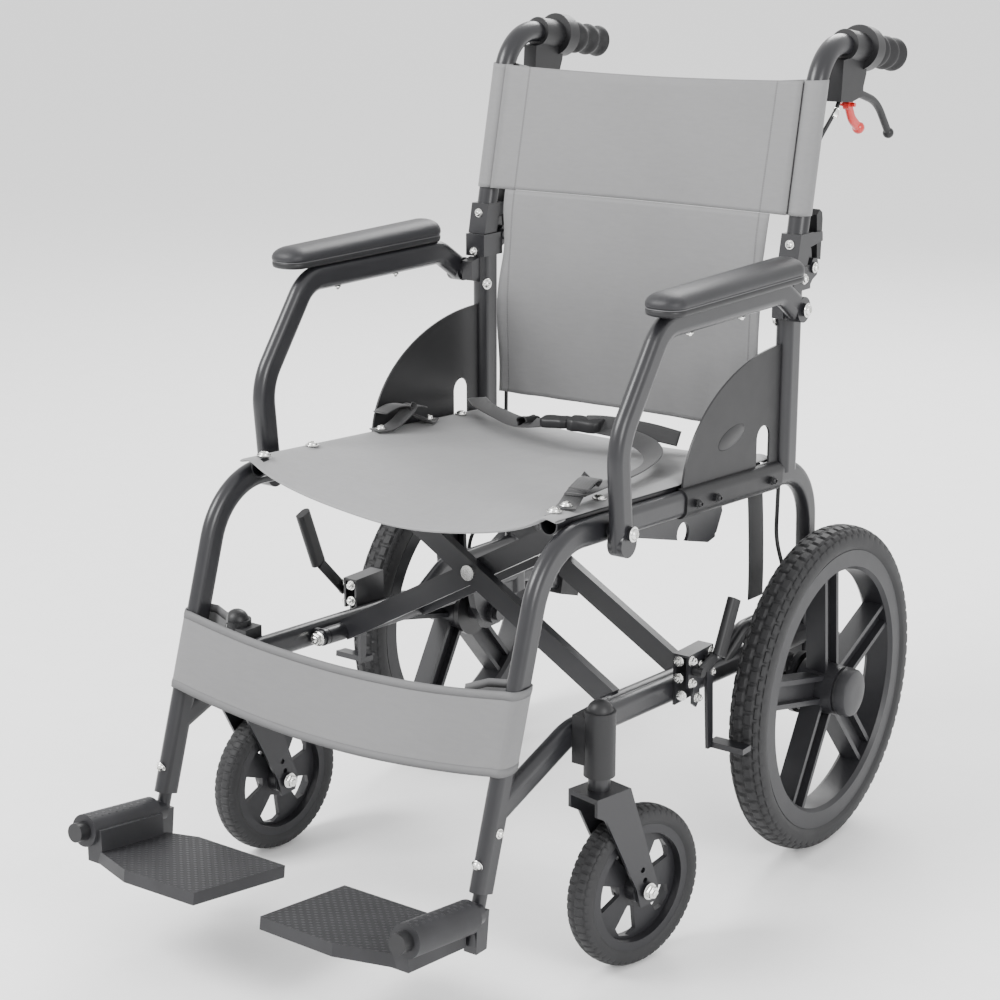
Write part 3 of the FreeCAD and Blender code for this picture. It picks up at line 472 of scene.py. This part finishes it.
def back_wall(x, z):
    """The front surface of the back between its handles, and on down to behind the seat."""
    if z >= back_low.z:
        line = handle_centre(z).y - SLEEVE_R
    else:
        top = handle_centre(back_low.z).y - SLEEVE_R
        fall = back_low.z - apron_low.z
        share = min(1.0, (back_low.z - z) / fall)
        rake = (HANDLE_HIGH.y - HANDLE_LOW.y) / (HANDLE_HIGH.z - HANDLE_LOW.z) * fall
        drop = top - apron_low.y - 0.003
        line = top - rake * (share - 2 * share ** 2 + share ** 3) - drop * (3 * share ** 2 - 2 * share ** 3)
    edge = min(1.0, abs(x) / 0.215)
    fade = 1 - edge ** 3
    hollow = BACK_HANG * (1 - edge ** 2)
    ripple = noise.noise((x * 6, 1.7, z * 5)) * 0.0045 + noise.noise((x * 17, 5.2, z * 9)) * 0.0014
    return line + hollow + ripple * fade


def back_section(z, share):
    """Points across the upper back at height z: a sleeve round each handle and the panel between."""
    centre = handle_centre(z)
    edge = centre.x - 0.012
    sleeve = [(centre.x + SLEEVE_R * math.sin(a), centre.y - SLEEVE_R * math.cos(a))
              for a in spread(math.radians(-80), math.radians(95), 12)]
    sleeve += [(centre.x + 0.004, centre.y + SLEEVE_R), (centre.x - 0.010, centre.y + SLEEVE_R * 0.9),
               (centre.x - 0.028, centre.y + 0.002), (centre.x - 0.044, centre.y - SLEEVE_R + 0.0055)]
    line = [(-x, y) for x, y in reversed(sleeve)]
    line += [(x, back_wall(x, z)) for x in spread(-edge, edge, 43)]
    line += sleeve
    dip = BACK_TOP_DIP * max(0.0, share - 0.9) / 0.1
    return [Vector((x, y, z - dip * (1 - (x / centre.x) ** 2))) for x, y in line]


def back_cover():
    """The upper back: one sheet with a sleeve over each handle tube."""
    heights = spread(back_low.z, back_high.z, 34)
    rows = [back_section(z, i / (len(heights) - 1)) for i, z in enumerate(heights)]
    cover = piece("back_cover", [p for row in rows for p in row],
                  lattice(len(rows), len(rows[0])), "back_cloth")
    settled(cover, ("SOLIDIFY", {"thickness": 0.0015, "offset": 0.0}))
    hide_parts("back_upper")
    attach(cover, "right_back")
    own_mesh(cover)


def back_apron():
    """The lower back: it hangs from the upper panel to behind the seat, slack at its edges."""
    half = apron_high.x
    columns = spread(-half, half, 57)
    rows = spread(apron_low.z - 0.004, back_low.z - 0.0003, 45)
    verts = []
    for z in rows:
        share = (z - rows[0]) / (rows[-1] - rows[0])
        for x in columns:
            side = abs(x) / half
            flute = math.sin(abs(x) * 115) * 0.0016 * (1 - share) * side * min(1, 8 * (1 - share))
            edge = 0.003 * max(0.0, side - 0.9) * 10 * math.sin(z * 38) * min(1, 6 * (1 - share))
            pinch = 0.010 * max(0.0, side - 0.6) * math.exp(-((z - 0.700) / 0.035) ** 2)
            verts.append(Vector((x - math.copysign(pinch, x), back_wall(x, z) + flute + edge, z)))
    apron = piece("back_apron", verts, lattice(len(rows), len(columns)), "back_cloth")
    settled(apron, ("SOLIDIFY", {"thickness": 0.0015, "offset": 0.0}))
    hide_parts("back_lower")
    rows[-1] - rows[0]
    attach(apron, "right_frame")
    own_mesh(apron)


calf_low, calf_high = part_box("calf_strap")
LEG_LEAN = 0.3227
LEG_AT = at(0.221, -0.370, 0.152)


def leg_centre(z):
    """The middle of the left leg tube at height z."""
    return Vector((LEG_AT.x, LEG_AT.y + LEG_LEAN * (z - LEG_AT.z), z))


def calf_row(share):
    """Points along the calf strap at a share of its height, round both legs and slack between."""
    z = calf_low.z + (calf_high.z - calf_low.z) * share
    centre = leg_centre(z)
    reach_y, reach_x = 0.0172, 0.0106
    half = []
    for x in spread(0, centre.x - 0.004, 24):
        slack = max(0.0, 1 - (x / (centre.x - 0.002)) ** 2)
        ripple = noise.noise((x * 10, 3.3, z * 12)) * 0.002 * slack
        half.append((x, centre.y - reach_y - 0.004 * slack + ripple, z - 0.017 * slack))
    for turn in spread(10, 170, 12):
        a = math.radians(turn)
        half.append((centre.x + reach_x * math.sin(a) ** 0.7, centre.y - reach_y * math.cos(a), z))
    half.append((centre.x - 0.012, centre.y + reach_y + 0.0006, z))
    half.append((centre.x - 0.040, centre.y + 0.004, z))
    half.append((centre.x - 0.056, centre.y - reach_y + 0.0024, z - 0.004))
    right = [Vector((-x, y, h)) for x, y, h in reversed(half)]
    return right[:-1] + [Vector(p) for p in half]


def calf_band():
    """The calf strap between the legs, bound along both edges."""
    rows = [calf_row(share) for share in spread(0, 1, 15)]
    band = piece("calf_band", [p for row in rows for p in row], lattice(len(rows), len(rows[0])),
                 "calf_cloth")
    length = sum((b - a).length for a, b in zip(rows[0], rows[0][1:]))
    settled(band, ("SOLIDIFY", {"thickness": 0.0016, "offset": 0.0}))
    edges = []
    for label, share in (("lower", 0.035), ("upper", 0.965)):
        path = calf_row(share)
        verts, faces = [], lattice(len(path), 6, closed_columns=True)
        for i, here in enumerate(path):
            along = (path[min(i + 1, len(path) - 1)] - path[max(i - 1, 0)]).normalized()
            up = Vector((0, LEG_LEAN, 1)).normalized()
            out = along.cross(up).normalized()
            verts += [here + up * u * 0.0045 + out * v * 0.0014
                      for u, v in ((-1, -0.7), (0, -1), (1, -0.7), (1, 0.7), (0, 1), (-1, 0.7))]
        edges.append(piece(f"calf_binding_{label}", verts, faces, "binding"))
    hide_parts("calf_strap")
    for made in [band] + edges:
        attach(made, "right_frame")
        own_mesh(made)


# ---- lap belt ----

def buckle_half(name, start, end, width, thick, finish="black_plastic"):
    """A moulded buckle body: a flat bar with rounded shoulders and raised rails."""
    start, end = Vector(start), Vector(end)
    along = end - start
    side = Vector((along.y, -along.x, 0)).normalized()
    up = side.cross(along.normalized())
    if up.z < 0:
        up = -up
    outline = [(0, 0.62), (0.12, 0.92), (0.3, 1), (0.62, 0.86), (0.8, 1), (1, 0.78)]
    verts = []
    for layer, grow in ((-1, 0.92), (-0.55, 1), (0.55, 1), (1, 0.88)):
        loop = [(t, w) for t, w in outline] + [(t, -w) for t, w in reversed(outline)]
        verts += [start + along * t + side * w * width / 2 * grow + up * layer * thick / 2
                  for t, w in loop]
    count = len(outline) * 2
    faces = lattice(4, count, closed_columns=True)
    faces += [tuple(range(count))[::-1], tuple(range(3 * count, 4 * count))]
    made = piece(name, verts, faces, finish)
    settled(made, ("BEVEL", {"width": 0.0012, "segments": 2}))
    return made


BELT_WIDE, BELT_THICK = 0.025, 0.0018


def lap_belt():
    """Two webbing straps from the sides of the seat to a buckle behind its middle."""
    flat = Vector((0, -1, 0.15))
    straps = [
        ribbon("belt_right", [at(-0.200, 0.196, 0.506), at(-0.176, 0.178, 0.503), at(-0.130, 0.150, 0.5035),
                              at(-0.085, 0.122, 0.506), at(-0.050, 0.105, 0.512), at(-0.020, 0.101, 0.5165)],
               [Vector((1, 1, 0)), Vector((0.9, 1, 0.1)), Vector((0.7, 1, 0.2)), Vector((0.5, 1, 0.3)),
                Vector((0.2, 1, 0.3)), Vector((0.1, 1, 0.1))],
               BELT_WIDE, BELT_THICK, "webbing", None),
        ribbon("belt_left", [at(0.034, 0.110, 0.517), at(0.066, 0.124, 0.512), at(0.110, 0.112, 0.5055),
                             at(0.150, 0.060, 0.5065), at(0.176, -0.020, 0.5115), at(0.190, -0.110, 0.5185),
                             at(0.197, -0.170, 0.5225)],
               [Vector((0.1, 1, 0.1)), Vector((0, 1, 0.3)), Vector((0.5, 1, 0.5)),
                Vector((1, 0.6, 0.6)), Vector((1, 0.2, 0.3)), Vector((1, 0.1, 0.1)), Vector((1, 0.1, 0))],
               BELT_WIDE, BELT_THICK, "webbing", None),
        ribbon("belt_slack", [at(0.030, 0.107, 0.5235), at(0.052, 0.130, 0.519), at(0.086, 0.152, 0.512),
                              at(0.120, 0.168, 0.504)],
               [Vector((0.2, 1, 0.2)), Vector((0.1, 1, 0.5)), Vector((0, 1, 0.7)), Vector((0.1, 1, 0.5))],
               BELT_WIDE - 0.001, BELT_THICK, "webbing", None),
        ribbon("belt_keeper", [at(-0.066, 0.113, 0.5095), at(-0.064, 0.112, 0.5155), at(-0.054, 0.109, 0.5175),
                               at(-0.051, 0.108, 0.5125)], flat, 0.029, 0.0022, "black_plastic", None),
    ]
    plug = buckle_half("buckle_plug", at(-0.030, 0.098, 0.5190), at(0.004, 0.106, 0.5200), 0.030, 0.011)
    cup = buckle_half("buckle_cup", at(0.044, 0.116, 0.5190), at(0.004, 0.107, 0.5200), 0.034, 0.014)
    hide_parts("seat_belt")
    for made in straps + [plug, cup]:
        over_seat_tubes(made)


TAB_LOOP = ((0.004, -0.3, 0.0), (-0.003, 0.35, 0.0006), (-0.006, 1.1, 0.010),
            (-0.001, 1.75, 0.019), (0.006, 1.1, 0.023), (0.009, 0.3, 0.018))


def belt_loops():
    """The folded webbing tabs that hold the belt to the seat tubes, each under a screw."""
    for label, s, body, places in (("right", -1, "cross_b", ((0.0, 0.030), (0.095, -0.026))),
                                   ("left", 1, "cross_a", ((-0.190, 0.028),))):
        for i, (y, lean) in enumerate(places):
            base = at(s * SEAT_TUBE_X, y, 0)
            base.z = seat_level(base.y) + 0.0034
            loop = [base + Vector((out * s, share * lean, rise)) for out, share, rise in TAB_LOOP]
            ribbon(f"belt_tab_{label}_{i}", loop, Vector((1, 0.12 * s, 0)), 0.023, 0.0017, "webbing", body)
            pan_screw(f"tab_screw_{label}_{i}", base + Vector((0, 0, 0.0012)), (0, SEAT_FALL, 1),
                      body, 0.0050)


def seat_screws():
    """Domed screws along both seat tubes."""
    for label, s, body in (("right", -1, "cross_b"), ("left", 1, "cross_a")):
        for i, y in enumerate((seat_low.y + 0.022, seat_low.y + 0.106, seat_high.y - 0.060)):
            place = (s * SEAT_TUBE_X, y, seat_level(y) + 0.0019)
            pan_screw(f"seat_screw_{label}_{i}", place, (0, SEAT_FALL, 1), body, 0.0062)


# ---- armrests ----

def pad_outline(low, high, z, shrink, count=72):
    """The rounded-end outline of an armrest pad at height z, drawn in by shrink."""
    middle = (low + high) / 2
    end = (high.x - low.x) / 2
    straight = (high.y - low.y) / 2 - end
    loop = []
    for k in range(count):
        a = 2 * math.pi * (k + 0.5) / count
        c, s = math.cos(a), math.sin(a)
        x = (end - shrink) * math.copysign(abs(c) ** 0.86, c)
        y = (end - shrink) * math.copysign(abs(s) ** 0.86, s) + math.copysign(straight, s)
        loop.append(Vector((middle.x + x, middle.y + y, z)))
    return loop


def stacked(name, low, high, layers, finish, body):
    """A closed pad form from outlines at rising heights, each drawn in by its own amount."""
    verts = [p for z, shrink in layers for p in pad_outline(low, high, z, shrink)]
    count = len(verts) // len(layers)
    faces = lattice(len(layers), count, closed_columns=True)
    faces += [tuple(range(count))[::-1], tuple(range(len(verts) - count, len(verts)))]
    return piece(name, verts, faces, finish, body)


def arm_pad(side):
    """A self-skinned armrest pad: a crowned, rounded cushion on a moulded base plate."""
    low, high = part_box(f"{side}_armrest_pad")
    body = f"{side}_frame"
    seam, top = low.z + 0.0080, high.z + 0.0015
    crown = top - seam
    profile = [(0.012, 0.0018), (0.07, 0.0006), (0.20, 0.0), (0.38, 0.0004), (0.55, 0.0018), (0.70, 0.0042),
               (0.82, 0.0074), (0.91, 0.0112), (0.965, 0.0150), (0.99, 0.0186), (1.0, 0.0215)]
    pad = stacked(f"{side}_arm_cushion", low, high, [(seam + crown * t, d) for t, d in profile],
                  "pad_skin", body)
    for vertex in pad.data.vertices:
        share = (vertex.co.y - low.y) / (high.y - low.y)
        lift = max(0.0, (vertex.co.z - seam) / crown)
        vertex.co.z -= lift * (0.0050 * max(0.0, 0.25 - share) * 4 + 0.0016 * abs(math.sin(share * 9)) * 0.2)
    piping = [(seam - 0.0010, 0.0020), (seam - 0.0008, 0.0007),
              (seam + 0.0002, 0.0007), (seam + 0.0004, 0.0020)]
    stacked(f"{side}_arm_piping", low, high, piping, "pad_piping", body)
    base = [(low.z, 0.0036), (low.z + 0.0010, 0.0014), (low.z + 0.0030, 0.0006),
            (seam - 0.0016, 0.0004), (seam - 0.0009, 0.0012)]
    stacked(f"{side}_arm_base", low, high, base, "black_plastic", body)
    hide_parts(f"{side}_armrest_pad")
    middle = (low + high) / 2
    for i, share in enumerate((0.30, 0.68)):
        y = low.y + (high.y - low.y) * share
        pan_screw(f"{side}_pad_screw_{i}", (middle.x - SIDES[side] * 0.0125, y, low.z - 0.0300),
                  (0, 0, -1), body, 0.0036)


# ---- wheels ----

def tread(name, node, body, radius, half_width, seat, blocks, rows, depth, yaw=0.0):
    """A tyre: a round carcass with rows of raised blocks cut by grooves."""
    low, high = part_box(node)
    centre = (low + high) / 2
    steps = 8
    around = blocks * steps
    profile = []
    wall = radius - seat
    for k in range(33):
        a = math.radians(-104 + 208 * k / 32)
        bulge = math.copysign(abs(math.sin(a)) ** 0.9, math.sin(a))
        crown = max(0.0, math.cos(a / 1.16)) ** 0.75
        profile.append((half_width * bulge, seat + wall * (0.18 + 0.82 * crown), a))
    profile = [(-half_width * 0.72, seat - 0.001, -3.1)] + profile + [(half_width * 0.72, seat - 0.001, 3.1)]
    verts = []
    for i in range(around):
        for across, r, a in profile:
            turn = abs(math.degrees(a))
            row = int((math.degrees(a) + 90) // (180 / rows)) if turn < 89 else -1
            lift = 0.0
            if turn < 74:
                groove = ((math.degrees(a) + 90) / (180 / rows)) % 1
                phase = (i % steps) / steps
                shifted = (phase + 0.5 * (row % 2)) % 1
                if 0.12 < groove < 0.88 and shifted < 0.70:
                    lift = depth
            t = 2 * math.pi * i / around
            rr = r - depth + lift
            verts.append(Vector((across, rr * math.cos(t), rr * math.sin(t))))
    turn = Matrix.Rotation(math.radians(yaw), 4, "Z")
    verts = [centre + turn @ v for v in verts]
    made = piece(name, verts, lattice(around, len(profile), closed_rows=True, closed_columns=True),
                 "tyre_rubber", body)
    made.data.set_sharp_from_angle(angle=math.radians(38))
    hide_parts(node)


CASTER_YAW = {"left": -12.0, "right": -5.0}


def wheels():
    for side, s in SIDES.items():
        low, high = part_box(f"{side}_rear_tyre")
        radius = (high.z - low.z) / 2
        tread(f"{side}_road_tyre", f"{side}_rear_tyre", f"{side}_wheel", radius,
              (high.x - low.x) / 2, 0.1725, 74, 6, 0.0022)
        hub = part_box(f"{side}_rear_rim")
        middle = (hub[0] + hub[1]) / 2
        outer = hub[1].x if s > 0 else hub[0].x
        turned(f"{side}_hub_cap", [(0.030, -0.010), (0.029, 0.000), (0.0275, 0.0022), (0.024, 0.0034),
                                   (0.010, 0.0040), (0.004, 0.0040)],
               (outer - s * 0.002, middle.y, middle.z), (s, 0, 0), "wheel_plastic", f"{side}_wheel", 40)
        low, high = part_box(f"{side}_caster_tyre")
        radius = (high.z - low.z) / 2
        tread(f"{side}_front_tyre", f"{side}_caster_tyre", f"{side}_caster_wheel", radius,
              0.0160, 0.0725, 56, 4, 0.0014, yaw=CASTER_YAW[side])


# ---- fasteners and small fittings ----

def frame_screws():
    """The bright screws, nuts and bolts of each side."""
    for side, s in SIDES.items():
        body = f"{side}_frame"
        leg = leg_centre(0.184)
        pan_screw(f"{side}_leg_screw", (s * leg.x, leg.y - 0.0158, 0.184), (0, -1, -LEG_LEAN), body, 0.0048)
        leg = leg_centre(0.212)
        pan_screw(f"{side}_leg_side_screw", (s * (leg.x + 0.0090), leg.y, leg.z), (s, 0, 0), body, 0.0040)
        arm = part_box(f"{side}_armrest_tube")
        outside = arm[1].x if s > 0 else arm[0].x
        pan_screw(f"{side}_arm_front_bolt", (outside, at(0, -0.1495, 0).y, 0.485), (s, 0, 0), body, 0.0062)
        pan_screw(f"{side}_arm_rear_bolt", (outside, at(0, 0.218, 0).y, 0.667), (s, 0, 0), body, 0.0062)
        for i, (y, z) in enumerate(((0.020, 0.4765), (0.062, 0.4739), (0.190, 0.466))):
            pan_screw(f"{side}_guard_screw_{i}", at(s * 0.2365, y, z), (s, 0, 0), body, 0.0042, "brake_black")
        hex_nut(f"{side}_stay_nut", at(s * 0.2005, 0.103, 0.432), (-s, 0, 0), body, 0.0060, 0.005)
        hex_nut(f"{side}_rod_nut", at(s * 0.200, -0.1255, 0.2702), (0, -1, 0.0616), body, 0.0070, 0.006)
        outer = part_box(f"{side}_lock_bracket")
        face = outer[1].x if s > 0 else outer[0].x
        for i, (y, z) in enumerate(((-0.011, 0.303), (0.031, 0.303), (-0.011, 0.277), (0.031, 0.279),
                                    (0.002, 0.256), (0.010, 0.292))):
            hex_nut(f"{side}_lock_nut_{i}", at(0, y, z) + Vector((face, 0, 0)), (s, 0, 0), body, 0.0046, 0.0040)
        for i, (x, z) in enumerate(((0.2375, 0.302), (0.2375, 0.282), (0.2420, 0.262))):
            hex_nut(f"{side}_lock_front_nut_{i}", Vector((s * x, outer[0].y, z)), (0, -1, 0), body,
                    0.0046, 0.0040)
        yaw = math.radians(CASTER_YAW[side])
        tyre_low, tyre_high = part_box(f"{side}_caster_tyre")
        hub = (tyre_low + tyre_high) / 2
        for end in (1, -1):
            out = Vector((math.cos(yaw), math.sin(yaw), 0)) * end
            hex_nut(f"{side}_caster_nut_{'in' if end * s < 0 else 'out'}", hub + out * 0.0255, out,
                    f"{side}_caster", 0.0072, 0.0055)
        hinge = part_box(f"{side}_back_hinge")
        edge = hinge[1].x if s > 0 else hinge[0].x
        for i, (y, z) in enumerate(((0.243, 0.698), (0.268, 0.708))):
            pan_screw(f"{side}_hinge_screw_{i}", at(0, y, z) + Vector((edge, 0, 0)), (s, 0, 0), body, 0.0046)
        for i, (holder, front, z) in enumerate(((f"{side}_back", handle_centre(0.738).y - 0.0160, 0.738),
                                                (body, at(0, 0.222, 0).y, 0.690))):
            pan_screw(f"{side}_post_screw_{i}", (s * 0.224, front, z), (0, -1, 0), holder, 0.0042)
        pan_screw(f"{side}_post_low_screw", at(s * 0.2105, 0.232, 0.648), (-s, -0.3, 0), body, 0.0052)
        hex_nut(f"{side}_adjuster", at(s * 0.2196, 0.346, 0.884), (0, -0.62, -0.78), f"{side}_back",
                0.0042, 0.010)


def spare_strap():
    """A loose webbing strap that hangs behind the left frame's down tube."""
    ribbon("hanging_strap", [at(0.205, 0.204, 0.444), at(0.206, 0.205, 0.420), at(0.206, 0.208, 0.385),
                             at(0.205, 0.212, 0.345), at(0.204, 0.214, 0.310)],
           Vector((0.15, 1, 0)), 0.028, 0.0016, "webbing", "left_frame")


def blank_badge():
    """A plain oval plate on the left skirt guard."""
    low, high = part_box("left_skirt_guard")
    centre = Vector((high.x - 0.0105, low.y + 0.112, 0.532))
    verts, count = [], 40
    for out, grow in ((-0.0002, 1.0), (0.0006, 0.99), (0.0010, 0.93)):
        for k in range(count):
            a = 2 * math.pi * k / count
            verts.append(centre + Vector((out, 0.030 * grow * math.cos(a),
                                          0.0115 * grow * math.sin(a) + 0.0055 * grow * math.cos(a))))
    faces = lattice(3, count, closed_columns=True) + [tuple(range(2 * count, 3 * count))]
    piece("guard_plate", verts, faces, "brake_black", "left_frame")


# ---- room, light and camera ----

def room():
    bpy.ops.mesh.primitive_plane_add(size=90, location=(0, 20, -0.0006))
    floor = bpy.context.object
    floor.name = "floor"
    floor.data.materials.append(FLOOR_FINISH)
    world = bpy.data.worlds.new("studio")
    bpy.context.scene.world = world
    world.use_nodes = True
    background = world.node_tree.nodes["Background"]
    background.inputs[0].default_value = (1.0, 1.0, 1.0, 1.0)
    background.inputs[1].default_value = 1.55
    for name, place, size, power in (("key", (-1.6, -2.4, 3.2), 1.5, 190),
                                     ("fill", (3.4, -1.2, 1.9), 1.3, 85),
                                     ("back", (-0.8, 3.0, 2.8), 1.8, 110)):
        light = bpy.data.lights.new(name, "AREA")
        light.size, light.energy = size, power
        holder = bpy.data.objects.new(name, light)
        bpy.context.collection.objects.link(holder)
        holder.location = place
        aim = Vector((0, 0, 0.5)) - Vector(place)
        holder.rotation_euler = aim.to_track_quat("-Z", "Y").to_euler()


def camera():
    lens = bpy.data.cameras.new("view")
    lens.lens = 78.62
    lens.sensor_width = 36
    lens.clip_end = 200
    holder = bpy.data.objects.new("view", lens)
    bpy.context.collection.objects.link(holder)
    holder.location = at(1.42658, -2.00580, 1.12989)
    holder.rotation_euler = (math.radians(74.49), 0, math.radians(35.84))
    bpy.context.scene.camera = holder


def finish_nodes():
    """Gives every carried-over part its finish by the slot it was packed with."""
    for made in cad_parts.values():
        for slot in made.material_slots:
            key = slot.material.name.split(".")[0] if slot.material else ""
            slot.material = FINISHES.get(key, slot.material)
    for side in SIDES:
        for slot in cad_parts[f"{side}_frame_fittings"].material_slots:
            slot.material = FINISHES["frame_paint"]


finish_nodes()
seat_cover()
back_cover()
back_apron()
calf_band()
lap_belt()
belt_loops()
seat_screws()
for side in SIDES:
    arm_pad(side)
wheels()
frame_screws()
spare_strap()
blank_badge()
room()
camera()
